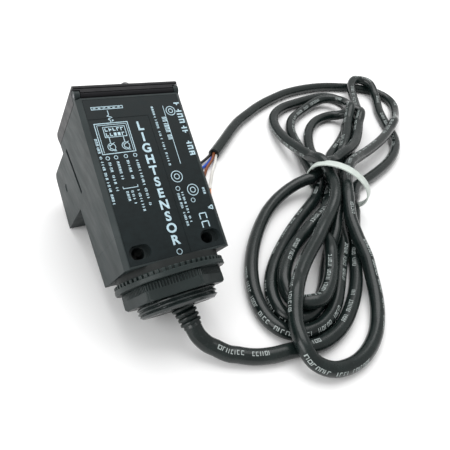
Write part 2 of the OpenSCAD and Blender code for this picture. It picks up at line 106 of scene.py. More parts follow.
# The loops between the lead and the tail, each strand through the tie in its own slot
LOOPS = [
    (47, -69, 3.3), (59, -68.5, 3.3), (71, -64, 3.3), (85, -54, 3.3), (98, -40, 4), (111, -23, 6),
    slot_at(-13.3, 8.5),
    (141, 11, 7), (157, 15, 4.5), (172, 20, 3.3), (187, 26, 3.3), (204, 36, 3.3), (216, 48, 3.3),
    (223, 65, 3.3), (232, 83, 3.3), (244, 97, 4), (250, 110, 7), (247, 121, 9.5),
    (237, 124, 10.5), (228, 117, 9.5), (220, 104, 9), (208, 88, 10), (191, 67, 10), (175, 49, 11),
    (158, 36, 12), (141, 28, 13),
    slot_at(12.7, 11.6),
    (104, 19, 10), (91, 16, 8), (76, 8, 6), (62, -4, 5), (50, -17, 3.3), (42, -29, 3.3),
    (37, -40, 3.3), (34.5, -51, 3.3), (37, -59.5, 3.3),
    (44, -64.5, 3.3), (54, -64, 3.3), (64, -60, 3.3), (75, -52, 3.3), (86, -41, 3.3), (98, -27, 3.5),
    (110, -12, 4.5),
    slot_at(-3.3, 5.6),
    (141, 26, 6), (154, 38, 8), (167, 51, 9), (180, 65, 9.5), (191, 75, 9.5), (200, 84, 9.5),
    (203, 93, 9.5),
    (199, 101, 9.5), (189, 104, 9.5), (175, 99, 7), (160, 92, 4), (147, 85, 3.3), (137, 73, 5),
    (132, 58, 8), (127, 40, 10.5),
    slot_at(6.6, 11.2),
    (103, 4, 8), (91, -2, 6), (78, -10, 4), (66, -19, 3.3), (53, -30, 3.3), (44.5, -40, 3.3),
    (41, -49, 3.3), (43, -56.5, 3.3),
    (51, -60.5, 3.3), (61, -57.5, 3.3), (71, -49, 3.3), (82, -35, 3.5), (95, -22, 5), (108, -8, 9),
    slot_at(-6.4, 11.2),
    (137, 21, 8), (151, 32, 4), (164, 42, 3.3), (179, 53, 3.3), (191, 64, 3.3), (195, 74, 3.3),
    (191, 82, 3.3), (181, 85, 3.3), (166, 81, 3.3), (151, 70, 3.3), (139, 54, 4), (131, 38, 6),
    slot_at(0.1, 11.2),
    (107, -6, 9), (95, -11, 8), (83, -15, 7), (71, -21, 8.5), (59, -29, 9.8), (50, -38, 10),
    (47, -47, 10), (50, -55, 10),
    (59, -58, 10), (71, -49, 9.8), (84, -34, 8), (97, -18, 5), (108, -4, 5),
    slot_at(3.3, 5.6),
    (138, 30, 6), (155, 44, 5), (172, 57, 4), (189, 71, 3.3), (205, 86, 3.3), (212, 98, 3.3),
    (207, 108, 3.3),
    (196, 111, 3.3), (182, 108, 3.3), (166, 104, 3.3), (149, 100, 3.3), (135, 91, 3.3),
    (127, 76, 5), (122, 59, 8), (120, 42, 12), (119, 27, 15),
    slot_at(3.4, 16.9),
    (106, -7, 15), (94, -16, 15), (81, -25, 15), (68, -33, 15.5), (57, -41, 16), (47, -51, 15),
    (41, -60, 12), (37, -69, 8), (38, -77, 5), (45, -83, 3.5),
    (54, -84, 3.3), (63, -83, 3.3), (73, -79, 3.3), (83, -72, 3.3), (92, -61, 5), (99, -46, 9),
    (104, -30, 13), (109, -14, 16),
    slot_at(-3.2, 16.9),
    (137, 19, 17), (152, 25, 15.5), (167, 31, 14), (181, 37, 13), (196, 44, 12), (210, 52, 10),
    (225, 62, 8), (240, 73, 5), (252, 83, 3.6), (259, 93, 3.3), (260, 104, 3.3), (253, 113, 3.3),
    (241, 119, 3.3),
]

# ---------------------------------------------------------------- camera, floor and light


def make_camera():
    """The photograph's view: from about 21 cm, on the left of the case and towards its base."""
    camera = bpy.data.cameras.new("camera")
    camera.lens = 38.745
    camera.clip_start = 0.005
    holder = bpy.data.objects.new("camera", camera)
    holder.location = (-0.06829, -0.13098, 0.15589)
    holder.rotation_euler = [math.radians(a) for a in (48.239, -12.46, -29.844)]
    scene.collection.objects.link(holder)
    scene.camera = holder


def make_floor():
    """A pale floor at the level that the part rests on."""
    size = 3.0
    mesh = bpy.data.meshes.new("floor")
    mesh.from_pydata([(-size, -size, 0), (size, -size, 0), (size, size, 0), (-size, size, 0)], [],
                     [(0, 1, 2, 3)])
    floor = bpy.data.objects.new("floor", mesh)
    scene.collection.objects.link(floor)
    look = bpy.data.materials.new("floor")
    look.use_nodes = True
    shader = look.node_tree.nodes["Principled BSDF"]
    shader.inputs["Base Color"].default_value = (0.95, 0.95, 0.95, 1)
    shader.inputs["Roughness"].default_value = 0.7
    mesh.materials.append(look)


def area_light(name, place, target, size, watts):
    """A soft square light that looks at a point."""
    light = bpy.data.lights.new(name, "AREA")
    light.size = size
    light.energy = watts
    holder = bpy.data.objects.new(name, light)
    holder.location = place
    holder.rotation_euler = (Vector(target) - Vector(place)).to_track_quat("-Z", "Y").to_euler()
    scene.collection.objects.link(holder)


def make_light():
    """Plain soft studio light: an even surround, a light overhead and a weaker one on the left."""
    world = scene.world or bpy.data.worlds.new("world")
    scene.world = world
    world.use_nodes = True
    world.node_tree.nodes["Background"].inputs["Color"].default_value = (1, 1, 1, 1)
    world.node_tree.nodes["Background"].inputs["Strength"].default_value = 0.62
    centre = (0.08, 0.0, 0.02)
    area_light("left_light", (-0.75, -0.1, 0.45), centre, 0.6, 4.2)
    area_light("top_light", (0.2, 0.3, 0.9), centre, 0.9, 7.2)
    scene.view_settings.view_transform = "Standard"


# ---------------------------------------------------------------- small tools


def add(name, mesh, body, slot_name, look):
    """A mesh as a piece of the part, on its body."""
    piece = bpy.data.objects.new(name, mesh)
    scene.collection.objects.link(piece)
    mesh.materials.append(look)
    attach(piece, body)
    return piece


def smooth(mesh, angle):
    """Smooth shading with sharp edges kept."""
    mesh.polygons.foreach_set("use_smooth", [True] * len(mesh.polygons))
    mesh.set_sharp_from_angle(angle=math.radians(angle))


def tidy(mesh):
    """Joins meeting points and turns the faces outward."""
    bm = bmesh.new()
    bm.from_mesh(mesh)
    bmesh.ops.remove_doubles(bm, verts=bm.verts, dist=1e-7)
    bmesh.ops.recalc_face_normals(bm, faces=bm.faces)
    bm.to_mesh(mesh)
    bm.free()


def face_out(mesh, way):
    """Turns each flat face to look one way."""
    bm = bmesh.new()
    bm.from_mesh(mesh)
    bm.normal_update()
    for face in bm.faces:
        if face.normal.dot(way) < 0:
            face.normal_flip()
    bm.to_mesh(mesh)
    bm.free()


def walls(rows, sides, closed=False):
    """Faces between rings of points, and from the last ring back to the first if closed."""
    faces = []
    for i in range(rows if closed else rows - 1):
        j = (i + 1) % rows
        for k in range(sides):
            n = (k + 1) % sides
            faces.append((i * sides + k, i * sides + n, j * sides + n, j * sides + k))
    return faces


def turns(sides):
    """The angles of a ring's points."""
    return [2 * math.pi * k / sides for k in range(sides)]


def curve_through(points, step):
    """A Catmull-Rom curve through the points, sampled about every step."""
    p = np.array(points, float)
    p = np.vstack([2 * p[0] - p[1], p, 2 * p[-1] - p[-2]])
    out = []
    for a, b, c, d in zip(p[:-3], p[1:-2], p[2:-1], p[3:]):
        n = max(2, int(np.linalg.norm(c - b) / step * 4))
        t = np.linspace(0, 1, n, endpoint=False)[:, None]
        out.append(0.5 * (2 * b + (c - a) * t + (2 * a - 5 * b + 4 * c - d) * t ** 2
                          + (3 * b - a - 3 * c + d) * t ** 3))
    out.append(p[-2][None])
    return evenly(np.vstack(out), step)


def evenly(line, step):
    """The same line with its points evenly spaced."""
    at = np.r_[0, np.cumsum(np.linalg.norm(np.diff(line, axis=0), axis=1))]
    n = max(2, round(at[-1] / step)) + 1
    s = np.linspace(0, at[-1], n)
    return np.c_[tuple(np.interp(s, at, line[:, k]) for k in range(3))]


def line_length(line):
    return float(np.linalg.norm(np.diff(line, axis=0), axis=1).sum())


# ---------------------------------------------------------------- the cord


STEP = 3.0                  # between the points of the cord while it settles
TIGHTEST = 12.5             # the bend radius that the folds are opened towards
CLEAR = 2 * CABLE_R + 0.15  # kept between the middles of two strands
LOWEST = CABLE_R + 0.05     # the middle of a strand that lies on the floor
ROUNDS = 260


def crossings(line, reach):
    """Pairs of points on different stretches of the line that lie within reach."""
    along = 6
    first, second = np.triu_indices(len(line), along)
    close = np.linalg.norm(line[first] - line[second], axis=1) < reach
    return first[close], second[close]


def part_strands(line, pairs):
    """Pushes apart the strands that lie too close."""
    first, second = pairs
    gap = line[first] - line[second]
    away = np.linalg.norm(gap, axis=1)
    hit = away < CLEAR
    push = gap[hit] * ((CLEAR - away[hit]) / np.maximum(away[hit], 0.1) * 0.5)[:, None]
    move, count = np.zeros_like(line), np.zeros(len(line))
    for ends, sign in ((first[hit], 1), (second[hit], -1)):
        np.add.at(move, ends, sign * push)
        np.add.at(count, ends, 1)
    return move / np.maximum(count, 1)[:, None] ** 0.5


def inside_tie(line):
    """Keeps the strands inside the band where they pass through it."""
    turn = math.radians(TIE_TURN)
    way = np.array((math.cos(turn), math.sin(turn)))
    across = np.array((-way[1], way[0]))
    flat = line[:, :2] - TIE_PLACE
    d, p, h = flat @ way, flat @ across, line[:, 2] - TIE_HALF_H
    room = np.array((TIE_HALF_W, TIE_HALF_H)) - TIE_T - CABLE_R
    out = np.hypot(p / room[0], h / room[1])
    caught = (np.abs(d) < TIE_W / 2 + 1.5) & (np.abs(p) < 1.6 * TIE_HALF_W) & (out > 1)
    p, h = p[caught] / out[caught], h[caught] / out[caught]
    line[caught, :2] = TIE_PLACE + d[caught, None] * way + p[:, None] * across
    line[caught, 2] = TIE_HALF_H + h


def bend_evenly(line, share):
    """Moves each point towards the smooth line through its neighbours, near and further off."""
    for reach, weight in ((1, 0.4), (2, 0.3), (4, 0.22), (7, 0.12)):
        middle = np.zeros_like(line)
        middle[reach:-reach] = (line[:-2 * reach] + line[2 * reach:]) / 2 - line[reach:-reach]
        line = line + share[:, None] * weight * middle
    return line


def open_folds(line, free):
    """Opens the folds that bend too tightly, tip inward and flanks outward."""
    for reach in (2, 3, 4):
        middle = (line[:-2 * reach] + line[2 * reach:]) / 2 - line[reach:-reach]
        sag = np.linalg.norm(middle, axis=1)
        most = (reach * STEP) ** 2 / (2 * TIGHTEST)
        pull = middle * (np.maximum(0, sag - most) / np.maximum(sag, 1e-6) * 0.3)[:, None]
        move = np.zeros_like(line)
        move[reach:-reach] += pull
        move[:-2 * reach] -= pull / 2
        move[2 * reach:] -= pull / 2
        line = line + free[:, None] * move
    return line


def near_folds(line):
    """1 near the folds that are too tight, where the strand may leave its route, 0 elsewhere."""
    reach = 3
    sag = np.linalg.norm((line[:-2 * reach] + line[2 * reach:]) / 2 - line[reach:-reach], axis=1)
    tight = np.zeros(len(line))
    tight[reach:-reach] = sag > (reach * STEP) ** 2 / (2 * TIGHTEST)
    return np.minimum(1, np.convolve(tight, np.ones(9), "same"))


def spread(move, reach):
    """Shares each push with the points near it, so that a strand gives way in a long curve."""
    weights = np.cos(np.linspace(-math.pi / 2, math.pi / 2, 2 * reach + 3))[1:-1]
    weights /= weights.sum()
    return np.stack([np.convolve(move[:, k], weights, "same") for k in range(3)], 1)


def settle(line, free, rounds):
    """Lets the strands sink, straighten and push each other apart, where they are free to."""
    home = line.copy()
    for turn in range(rounds):
        if turn % 6 == 0:
            pairs = crossings(line, 2 * CLEAR)
            hold = free * (1 - 0.85 * near_folds(line))
        late = turn > 0.8 * rounds
        line = line - free[:, None] * (0, 0, 0.05)
        line = line + hold[:, None] * (home - line) * (0.1, 0.1, 0.01)
        line = bend_evenly(line, free * (0.1 if late else 0.3))
        for _ in range(3):
            line = open_folds(line, free)
            push = part_strands(line, pairs)
            line = line + free[:, None] * (spread(push, 2) if late else 2.2 * spread(push, 5))
        inside_tie(line)
        line[:, 2] = np.maximum(line[:, 2], LOWEST)
    return line


def ease_apart(line, free, rounds):
    """Parts the strands that still touch, close to the shape that they settled in."""
    home = line.copy()
    for turn in range(rounds):
        if turn % 6 == 0:
            pairs = crossings(line, 2 * CLEAR)
        line = line + free[:, None] * (home - line) * 0.06
        line = bend_evenly(line, free * 0.02)
        line = line + free[:, None] * 1.4 * spread(part_strands(line, pairs), 2)
        line[:, 2] = np.maximum(line[:, 2], LOWEST)
    return line


def cord_line():
    """The cable's centre line from the strain relief to the end of its jacket, in millimetres."""
    leave, direction = relief_end()
    line = curve_through([leave, leave + 2.5 * direction, *LEAD, *LOOPS, *TAIL], STEP)
    free = np.ones(len(line))
    free[:3] = 0
    free[-20:] = 0
    rounds = ROUNDS
    line = ease_apart(settle(line, free, rounds), free, rounds // 6)
    return curve_through(line, STEP / 2)


RELIEF = {"x": 1.6, "y": -79.1, "lean": 10, "length": 8.2}


def relief_end():
    """The point where the cable leaves the strain relief, and its direction, in the scene's frame."""
    lean = math.radians(RELIEF["lean"])
    along = Vector((math.sin(lean), -math.cos(lean), 0))
    root = Vector((RELIEF["x"], RELIEF["y"], BARREL_Z))
    leave = LEANED @ (root + along * RELIEF["length"])
    direction = AXES.to_3x3() @ along
    return np.array(leave) / MM, np.array(direction)


def frames_along(line):
    """Directions along a line, with sides that don't twist."""
    along = np.gradient(line, axis=0)
    along /= np.linalg.norm(along, axis=1)[:, None]
    side = np.zeros_like(line)
    side[0] = np.cross(along[0], (0, 0, 1))
    side[0] /= np.linalg.norm(side[0])
    for i in range(1, len(line)):
        s = side[i - 1] - along[i] * side[i - 1].dot(along[i])
        side[i] = s / np.linalg.norm(s)
    return along, side, np.cross(side, along)


def tube(line, radii, sides):
    """Points and faces of a round tube along a line, closed at both ends."""
    _, side, up = frames_along(line)
    turn = np.linspace(0, 2 * math.pi, sides, endpoint=False)
    ring = np.cos(turn)[None, :, None] * side[:, None] + np.sin(turn)[None, :, None] * up[:, None]
    points = (line[:, None] + ring * np.asarray(radii, float).reshape(-1, 1, 1)).reshape(-1, 3)
    last = (len(line) - 1) * sides
    return points, walls(len(line), sides) + [tuple(range(sides)), tuple(range(last, last + sides))]


def mesh_of(name, points, faces, scale=MM):
    mesh = bpy.data.meshes.new(name)
    mesh.from_pydata([tuple(np.asarray(p) * scale) for p in points], [], faces)
    mesh.validate()
    return mesh


def make_cord(line, looks):
    """The jacket as one curve of the cable's thickness."""
    curve = bpy.data.curves.new("cable", "CURVE")
    curve.dimensions = "3D"
    curve.bevel_depth = CABLE_R * MM
    curve.bevel_resolution = 6
    curve.use_fill_caps = True
    spline = curve.splines.new("POLY")
    spline.points.add(len(line) - 1)
    spline.points.foreach_set("co", np.c_[line * MM, np.ones(len(line))].ravel())
    spline.use_smooth = True
    curve.materials.append(looks["cable_jacket"])
    cable = bpy.data.objects.new("cable", curve)
    scene.collection.objects.link(cable)
    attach(cable, "casing")
    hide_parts("cable_lead", "cable_bundle", "cable_tail")
    return cable


# ---------------------------------------------------------------- materials


class Look:
    """A material under construction, with short ways to add and join nodes."""

    def __init__(self, name):
        self.material = bpy.data.materials.new(name)
        self.material.use_nodes = True
        self.tree = self.material.node_tree
        self.shader = self.tree.nodes["Principled BSDF"]
        self.place = self.node("ShaderNodeTexCoord").outputs["Object"]

    def node(self, kind, **settings):
        made = self.tree.nodes.new(kind)
        for key, value in settings.items():
            setattr(made, key, value)
        return made

    def join(self, out, into):
        self.tree.links.new(out, into)

    def set(self, **values):
        """Constants on the shader's own sockets."""
        for key, value in values.items():
            self.shader.inputs[key.replace("_", " ")].default_value = value

    def noise(self, scale, detail=3, rough=0.5, stretch=None):
        made = self.node("ShaderNodeTexNoise")
        made.inputs["Scale"].default_value = scale
        made.inputs["Detail"].default_value = detail
        made.inputs["Roughness"].default_value = rough
        place = self.place
        if stretch:
            mapping = self.node("ShaderNodeMapping")
            mapping.inputs["Scale"].default_value = stretch
            self.join(place, mapping.inputs["Vector"])
            place = mapping.outputs["Vector"]
        self.join(place, made.inputs["Vector"])
        return made.outputs["Fac"]

    def ramp(self, value, low, high, to_low=0.0, to_high=1.0):
        """The value's span from low to high, stretched to another span."""
        made = self.node("ShaderNodeMapRange")
        for key, number in (("From Min", low), ("From Max", high), ("To Min", to_low), ("To Max", to_high)):
            made.inputs[key].default_value = number
        self.join(value, made.inputs["Value"])
        return made.outputs["Result"]

    def math(self, how, a, b):
        made = self.node("ShaderNodeMath", operation=how)
        for socket, value in zip(made.inputs, (a, b)):
            if isinstance(value, (int, float)):
                socket.default_value = value
            else:
                self.join(value, socket)
        return made.outputs["Value"]

    def mix(self, share, a, b):
        """A colour between two colours, each given or made by nodes."""
        made = self.node("ShaderNodeMix", data_type="RGBA")
        self.join(share, made.inputs["Factor"])
        for key, value in (("A", a), ("B", b)):
            socket = [s for s in made.inputs if s.name == key and s.type == "RGBA"][0]
            if isinstance(value, tuple):
                socket.default_value = (*value, 1)
            else:
                self.join(value, socket)
        return [s for s in made.outputs if s.type == "RGBA"][0]

    def colour(self, out):
        self.join(out, self.shader.inputs["Base Color"])

    def roughness(self, out):
        self.join(out, self.shader.inputs["Roughness"])

    def bump(self, height, strength, distance=0.0001):
        made = self.node("ShaderNodeBump")
        made.inputs["Strength"].default_value = strength
        made.inputs["Distance"].default_value = distance
        self.join(height, made.inputs["Height"])
        self.join(made.outputs["Normal"], self.shader.inputs["Normal"])

    def edges(self, width):
        """1 along convex and concave edges, 0 on flat faces."""
        soft = self.node("ShaderNodeBevel", samples=4)
        soft.inputs["Radius"].default_value = width
        flat = self.node("ShaderNodeNewGeometry").outputs["Normal"]
        dot = self.node("ShaderNodeVectorMath", operation="DOT_PRODUCT")
        self.join(soft.outputs["Normal"], dot.inputs[0])
        self.join(flat, dot.inputs[1])
        return self.ramp(dot.outputs["Value"], 0.995, 0.85)


def shade(colour, by):
    return tuple(min(1.0, c * by) for c in colour)


def moulded(name, colour, rough=0.45, grain=2600, depth=0.25, wear=0.35, specular=0.28):
    """Moulded plastic: a fine spark-eroded grain, cloudy gloss, and edges rubbed a little paler."""
    look = Look(name)
    clouds = look.noise(90, 4)
    grains = look.noise(grain, 2, 0.6)
    rubbed = look.math("MULTIPLY", look.edges(0.0004), look.ramp(look.noise(700, 3), 0.35, 0.7))
    body = look.mix(look.ramp(clouds, 0.3, 0.7), shade(colour, 0.86), shade(colour, 1.14))
    look.colour(look.mix(look.math("MULTIPLY", rubbed, wear), body, shade(colour, 3.2)))
    smears = look.noise(220, 3, 0.6, (1, 0.25, 1))
    look.roughness(look.ramp(smears, 0.3, 0.7, rough - 0.07, rough + 0.09))
    look.set(Specular_IOR_Level=specular)
    look.bump(grains, depth, 0.00006)
    return look.material


def label_film_look():
    """The dark printed film: satin, with faint handling marks."""
    look = Look("label_film")
    colour = (0.006, 0.0105, 0.0115)
    marks = look.noise(340, 5, 0.65, (1, 1.6, 1))
    look.colour(look.mix(look.ramp(marks, 0.35, 0.75), shade(colour, 0.85), shade(colour, 1.35)))
    look.roughness(look.ramp(marks, 0.3, 0.7, 0.36, 0.5))
    look.set(Specular_IOR_Level=0.17)
    look.bump(look.noise(3200, 2), 0.15, 0.00004)
    return look.material


def ink_look(name, colour):
    """Printed ink, thin in places."""
    look = Look(name)
    thin = look.ramp(look.noise(1500, 3), 0.35, 0.65)
    look.colour(look.mix(thin, shade(colour, 0.72), colour))
    look.roughness(look.ramp(look.noise(900, 2), 0.3, 0.7, 0.5, 0.65))
    look.set(Specular_IOR_Level=0.3)
    return look.material


def jacket_look():
    """Extruded cable jacket: soft gloss with faint lengthwise flow and dust."""
    look = Look("cable_jacket")
    colour = (0.0055, 0.0105, 0.0098)
    flow = look.noise(160, 4, 0.6)
    dust = look.ramp(look.noise(1300, 4, 0.7), 0.55, 0.8)
    body = look.mix(look.ramp(flow, 0.3, 0.7), shade(colour, 0.8), shade(colour, 1.3))
    look.colour(look.mix(look.math("MULTIPLY", dust, 0.22), body, (0.09, 0.1, 0.095)))
    look.roughness(look.ramp(flow, 0.3, 0.7, 0.2, 0.31))
    look.set(Specular_IOR_Level=0.4)
    look.bump(look.noise(900, 4, 0.6), 0.2, 0.00012)
    return look.material


def nylon_look():
    """Natural nylon: milky, slightly translucent, with fine lengthwise ribs."""
    look = Look("tie_nylon")
    colour = (0.6, 0.66, 0.62)
    look.colour(look.mix(look.ramp(look.noise(260, 3), 0.3, 0.7), shade(colour, 0.85), colour))
    look.roughness(look.ramp(look.noise(600, 3), 0.3, 0.7, 0.3, 0.45))
    look.set(Subsurface_Weight=0.25, Subsurface_Radius=(0.002, 0.002, 0.002))
    look.bump(look.noise(1800, 2, 0.5), 0.25, 0.00008)
    return look.material


def metal_look(name, colour, rough=0.3):
    """Machined metal with fine tool lines."""
    look = Look(name)
    lines = look.noise(2400, 2, 0.5, (0.1, 1, 1))
    look.colour(look.mix(look.ramp(lines, 0.3, 0.7), shade(colour, 0.8), colour))
    look.roughness(look.ramp(lines, 0.3, 0.7, rough - 0.08, rough + 0.1))
    look.set(Metallic=1.0)
    look.bump(lines, 0.2, 0.00003)
    return look.material


def clear_look(name, colour, rough=0.06, through=1.0):
    """Clear or tinted moulding, with a little haze."""
    look = Look(name)
    haze = look.noise(300, 3)
    look.colour(look.mix(look.ramp(haze, 0.3, 0.7), shade(colour, 0.9), colour))
    look.roughness(look.ramp(haze, 0.3, 0.7, rough, rough + 0.08))
    look.set(Transmission_Weight=through, IOR=1.49)
    look.bump(look.noise(500, 2), 0.05, 0.00005)
    return look.material


def board_look():
    """Green solder mask over copper tracks."""
    look = Look("board_green")
    tracks = look.node("ShaderNodeTexBrick", offset=0.35)
    for key, number in (("Scale", 260), ("Mortar Size", 0.06), ("Brick Width", 0.9), ("Row Height", 0.3)):
        tracks.inputs[key].default_value = number
    look.join(look.place, tracks.inputs["Vector"])
    look.colour(look.mix(tracks.outputs["Fac"], (0.008, 0.07, 0.03), (0.03, 0.15, 0.06)))
    look.roughness(look.ramp(look.noise(500, 3), 0.3, 0.7, 0.25, 0.4))
    look.bump(tracks.outputs["Fac"], 0.3, 0.00005)
    return look.material


def make_looks():
    """Every material, by the record's slot name, then the two inks and the bare copper."""
    return {
        "housing_plastic": moulded("housing_plastic", (0.02, 0.0275, 0.028), 0.5, wear=0.4, specular=0.22),
        "label_film": label_film_look(),
        "cover_plastic": moulded("cover_plastic", (0.009, 0.009, 0.0105), 0.4, wear=0.5, specular=0.2),
        "clear_plastic": clear_look("clear_plastic", (0.12, 0.12, 0.125), 0.25, 0.25),
        "pin_steel": metal_look("pin_steel", (0.3, 0.3, 0.31), 0.45),
        "black_rubber": moulded("black_rubber", (0.008, 0.0105, 0.01), 0.62, 1500, 0.4, 0.15, 0.3),
        "dial_plastic": moulded("dial_plastic", (0.45, 0.28, 0.03), 0.4),
        "selector_plastic": moulded("selector_plastic", (0.6, 0.58, 0.5), 0.4, wear=0.05),
        "part_blue": moulded("part_blue", (0.02, 0.09, 0.25), 0.38),
        "switch_black": moulded("switch_black", (0.012, 0.012, 0.013), 0.42),
        "led_green": clear_look("led_green", (0.15, 0.7, 0.2), 0.15, 0.5),
        "window_red": clear_look("window_red", (0.35, 0.01, 0.015), 0.05, 0.85),
        "filter_film": clear_look("filter_film", (0.12, 0.1, 0.16), 0.1, 0.7),
        "lens_clear": clear_look("lens_clear", (0.9, 0.92, 0.93)),
        "holder_black": moulded("holder_black", (0.008, 0.008, 0.009), 0.55),
        "led_red": clear_look("led_red", (0.6, 0.02, 0.02), 0.1, 0.6),
        "diode_dark": clear_look("diode_dark", (0.02, 0.01, 0.03), 0.1, 0.3),
        "board_green": board_look(),
        "capacitor_sleeve": moulded("capacitor_sleeve", (0.01, 0.015, 0.06), 0.3, wear=0.1),
        "chip_black": moulded("chip_black", (0.01, 0.01, 0.011), 0.6),
        "link_film": moulded("link_film", (0.35, 0.13, 0.02), 0.3, wear=0.05),
        "nut_plastic": moulded("nut_plastic", (0.014, 0.021, 0.0205), 0.4, wear=0.55),
        "barrel_plastic": moulded("barrel_plastic", (0.012, 0.018, 0.0175), 0.24, wear=0.3, specular=0.45),
        "cable_jacket": jacket_look(),
        "tie_nylon": nylon_look(),
        "core_brown": moulded("core_brown", (0.2, 0.06, 0.02), 0.35, wear=0.02),
        "core_blue": moulded("core_blue", (0.02, 0.08, 0.45), 0.35, wear=0.02),
        "core_white": moulded("core_white", (0.75, 0.74, 0.7), 0.35, wear=0.02),
        "core_black": moulded("core_black", (0.01, 0.01, 0.011), 0.35, wear=0.05),
        "print_ink": ink_look("print_ink", (0.5, 0.68, 0.76)),
        "cable_ink": ink_look("cable_ink", (0.42, 0.47, 0.46)),
        "copper": metal_look("copper", (0.75, 0.33, 0.17), 0.28),
    }


SLOTS = {part["node"]: part["material_slot"] for part in frame["record"]["subparts"]}


def dress_frame(looks):
    """Gives each CAD node the finished material of its slot."""
    for name, node in frame["nodes"].items():
        for place in node.material_slots:
            place.material = looks[SLOTS[name]]


# ---------------------------------------------------------------- the moulded parts


def softened(node, name, body, look, width):
    """A CAD part's own shape with its edges rounded, in place of the sharp one."""
    mesh = frame["nodes"][node].data.copy()
    mesh.name = name
    bm = bmesh.new()
    bm.from_mesh(mesh)
    bmesh.ops.remove_doubles(bm, verts=bm.verts, dist=1e-6)
    bmesh.ops.dissolve_limit(bm, angle_limit=math.radians(0.6), verts=bm.verts, edges=bm.edges)
    bm.to_mesh(mesh)
    bm.free()
    mesh.materials.clear()
    piece = add(name, mesh, body, SLOTS[node], look)
    round_off = piece.modifiers.new("rounded", "BEVEL")
    round_off.width = width * MM
    round_off.segments = 2
    round_off.limit_method = "ANGLE"
    round_off.angle_limit = math.radians(25)
    round_off.use_clamp_overlap = True
    round_off.loop_slide = True
    mesh.polygons.foreach_set("use_smooth", [True] * len(mesh.polygons))
    weigh = piece.modifiers.new("weighted", "WEIGHTED_NORMAL")
    weigh.keep_sharp = False
    weigh.mode = "FACE_AREA"
    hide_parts(node)


def make_case(looks):
    softened("main_housing", "case_shell", "casing", looks["housing_plastic"], 0.22)
    softened("base_block", "case_foot", "casing", looks["housing_plastic"], 0.22)
    softened("top_cover", "cover_shell", "cover", looks["cover_plastic"], 0.2)


def around(r, y, a):
    """The point at a radius, a height and an angle about the base's axis, in the case's frame."""
    return (r * math.cos(a), y, BARREL_Z + r * math.sin(a))


def about_base(profile, sides=96):
    """A shape turned about the base's axis, from points of radius and height."""
    points = [around(r, y, a) for r, y in profile for a in turns(sides)]
    return points, walls(len(profile), sides)


def polar(radius_at, heights, bore, sides):
    """A turned shape whose radius changes round it as well as along it, with a plain bore."""
    points = [around(radius_at(a, y), y, a) for y in heights for a in turns(sides)]
    points += [around(bore, y, a) for y in (heights[-1], heights[0]) for a in turns(sides)]
    return points, walls(len(heights) + 2, sides, closed=True)


def leaned_mesh(name, points, faces, outward=True):
    """A mesh drawn in the case's frame, leaned over into place."""
    mesh = mesh_of(name, points, faces, 1)
    mesh.transform(LEANED)
    if outward:
        tidy(mesh)
    return mesh


NUT = {"r": 19.3, "high": -68.6, "low": -74.7, "turn": 40, "ribs": 18, "rib": 0.4, "band": 2.6}


def nut_radius(a, y):
    """The hexagon with rounded corners, chamfered ends and a ribbed upper band."""
    flat = NUT["r"] * math.cos(math.radians(30))
    off = (a + math.radians(NUT["turn"])) % math.radians(60) - math.radians(30)
    r = flat / math.cos(off)
    chamfer = max(0.0, 0.5 - (NUT["high"] - y), 0.8 - (y - NUT["low"]))
    r = min(r, NUT["r"] - 0.25 - 0.9 * chamfer - 0.35 * (r / NUT["r"]) ** 60)
    r -= 0.3 * max(0.0, 0.35 - (NUT["high"] - y), 0.35 - (y - NUT["low"]))
    depth = (NUT["high"] - y) / NUT["band"]
    if 0.08 < depth < 1:
        along = flat * math.tan(off) / (flat * math.tan(math.radians(30)))
        wave = math.cos(math.pi * along * NUT["ribs"])
        r -= NUT["rib"] * (0.5 - 0.5 * max(-1, min(1, 1.8 * wave)))
    return r


def make_nut(looks):
    steps = [0, 0.15, 0.35, 0.5, 0.62, 1.2, 1.9, 2.45, 2.59, 2.62, 3.4, 4.4, 5.3, 5.55, 5.75, 5.95, 6.1]
    points, faces = polar(nut_radius, [NUT["high"] - s for s in steps], THREAD["r"] + 0.1, 1080)
    mesh = leaned_mesh("nut", points, faces)
    smooth(mesh, 32)
    piece = add("hexagonal_nut", mesh, "nut", "nut_plastic", looks["nut_plastic"])
    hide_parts("mounting_nut")


RING = {"r": 20.8, "high": -65.45, "low": -68.5, "teeth": 60, "tooth": 1.35}


def ring_radius(a, y):
    """A plain flange below, and small square teeth above it."""
    share = (a * RING["teeth"] / (2 * math.pi)) % 1
    below = RING["high"] - y
    if below < RING["tooth"] and share > 0.52:
        return RING["r"] - 1.15
    edge = max(0.0, 0.25 - below, 0.3 - (y - RING["low"]))
    notch = 0.12 if abs(below - RING["tooth"]) < 0.1 else 0.0
    return RING["r"] - (0.15 if below < RING["tooth"] else 0.0) - 0.8 * edge - notch


def make_ring(looks):
    steps = [0, 0.12, 0.25, 0.8, 1.3, 1.36, 1.5, 2.2, 2.75, 2.9, 3.05]
    points, faces = polar(ring_radius, [RING["high"] - s for s in steps], THREAD["r"] + 0.12, 720)
    mesh = leaned_mesh("ring", points, faces)
    smooth(mesh, 32)
    piece = add("toothed_ring", mesh, "ring", "nut_plastic", looks["nut_plastic"])
    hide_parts("lock_ring")


SLOT = {"y": -15.6, "z": -27.9, "tilt": 13.6, "length": 20.4, "w": 1.7, "depth": 1.55}


